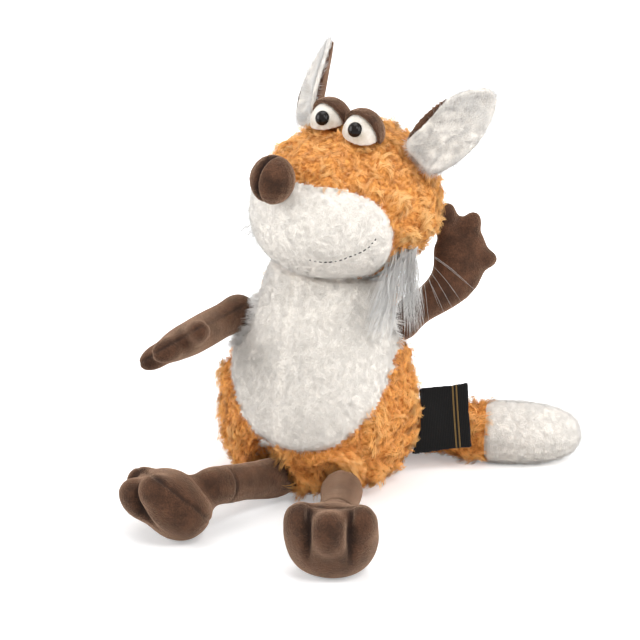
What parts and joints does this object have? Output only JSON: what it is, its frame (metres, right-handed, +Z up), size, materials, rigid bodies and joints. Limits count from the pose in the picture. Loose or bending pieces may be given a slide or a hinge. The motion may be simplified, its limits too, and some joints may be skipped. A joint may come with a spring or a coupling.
{
  "type": "plush fox",
  "caption": "Seated plush fox with a raised arm, long nose, lidded eyes, floppy limbs and a laid-out tail; sewn skins round separate stuffings.",
  "frame": {"origin": "middle of the flat underside of the trunk, on the surface the toy sits on", "axes": "+Z up, the trunk faces -Y, +X is the toy's own left"},
  "size_m": [0.2505, 0.2287, 0.2577],
  "materials": {
    "orange_plush": "curly long-pile plush",
    "white_plush": "straight long-pile plush",
    "brown_velboa": "short-pile velboa",
    "eye_fleece": "short fleece",
    "black_bead": "polished",
    "washer_plastic": "moulded",
    "black_thread": "embroidery thread",
    "label_satin": "woven satin",
    "stuffing": "loose polyester fibre",
    "pellets": "pellets in a cloth bag"
  },
  "bodies": {
    "trunk": {"back_skin": "orange_plush", "belly_panel": "white_plush", "trunk_filling": "stuffing", "pellet_bag": "pellets"},
    "head": {"crown_skin": "orange_plush", "muzzle_skin": "white_plush", "head_filling": "stuffing", "nose": "brown_velboa", "mouth_stitching": "black_thread", "left_eyeball": "eye_fleece", "left_pupil": "black_bead", "left_eye_washer": "washer_plastic", "left_eyelid": "brown_velboa", "left_cheek_tuft": "white_plush", "right_eyeball": "eye_fleece", "right_pupil": "black_bead", "right_eye_washer": "washer_plastic", "right_eyelid": "brown_velboa", "right_cheek_tuft": "white_plush"},
    "left_ear": {"left_ear_back": "brown_velboa", "left_ear_inner": "white_plush"},
    "left_arm": {"left_arm_skin": "brown_velboa", "left_arm_filling": "stuffing"},
    "left_leg": {"left_leg_skin": "brown_velboa", "left_leg_filling": "stuffing"},
    "left_foot": {"left_foot_skin": "brown_velboa", "left_foot_filling": "stuffing"},
    "right_ear": {"right_ear_back": "brown_velboa", "right_ear_inner": "white_plush"},
    "right_arm": {"right_arm_skin": "brown_velboa", "right_arm_filling": "stuffing"},
    "right_leg": {"right_leg_skin": "brown_velboa", "right_leg_filling": "stuffing"},
    "right_foot": {"right_foot_skin": "brown_velboa", "right_foot_filling": "stuffing"},
    "tail": {"tail_root_skin": "orange_plush", "tail_tip_skin": "white_plush", "tail_filling": "stuffing"},
    "label": {"side_label": "label_satin"}
  },
  "joints": [
    {"name": "neck", "type": "hinge", "parent": "trunk", "child": "head", "pos_m": [0.0075, 0, 0.118], "axis": [0, 0, 1], "range_deg": [-20, 15], "stiffness_Nm_per_rad": 0.05},
    {"name": "left_ear_fold", "type": "hinge", "parent": "head", "child": "left_ear", "pos_m": [0.06862, -0.0187, 0.20704], "axis": [-0.6976, 0.113, 0.7075], "range_deg": [-3, 30], "stiffness_Nm_per_rad": 0.01},
    {"name": "right_ear_fold", "type": "hinge", "parent": "head", "child": "right_ear", "pos_m": [-0.0033, 0.02981, 0.21924], "axis": [-0.5071, 0.6997, -0.5032], "range_deg": [-3, 30], "stiffness_Nm_per_rad": 0.01},
    {"name": "left_shoulder", "type": "hinge", "parent": "trunk", "child": "left_arm", "pos_m": [0.0512, 0.005, 0.0985], "axis": [0, -1, 0], "range_deg": [-36, 0]},
    {"name": "right_shoulder", "type": "hinge", "parent": "trunk", "child": "right_arm", "pos_m": [-0.0458, -0.01, 0.1032], "axis": [0, 1, 0], "range_deg": [-3, 60]},
    {"name": "left_hip", "type": "hinge", "parent": "trunk", "child": "left_leg", "pos_m": [0.026, -0.061, 0.0145], "axis": [-0.9959, -0.091, 0], "range_deg": [0, 30]},
    {"name": "right_hip", "type": "hinge", "parent": "trunk", "child": "right_leg", "pos_m": [-0.016, -0.048, 0.0145], "axis": [-0.8754, 0.4835, 0], "range_deg": [0, 28]},
    {"name": "left_ankle", "type": "hinge", "parent": "left_leg", "child": "left_foot", "pos_m": [0.03107, -0.11653, 0.01969], "axis": [-0.9959, -0.0903, 0.0094], "range_deg": [0, 25]},
    {"name": "right_ankle", "type": "hinge", "parent": "right_leg", "child": "right_foot", "pos_m": [-0.04239, -0.09577, 0.02705], "axis": [-0.4667, 0.8476, -0.2523], "range_deg": [0, 25]},
    {"name": "tail_swing", "type": "hinge", "parent": "trunk", "child": "tail", "pos_m": [0.035, 0.048, 0.0185], "axis": [0, 0, 1], "range_deg": [-8, 30], "stiffness_Nm_per_rad": 0.02},
    {"name": "label_fold", "type": "hinge", "parent": "trunk", "child": "label", "pos_m": [0.0631, 0, 0.037], "axis": [-0.0829, -0.0269, 0.9962], "range_deg": [-14, 16], "stiffness_Nm_per_rad": 0.001}
  ]
}
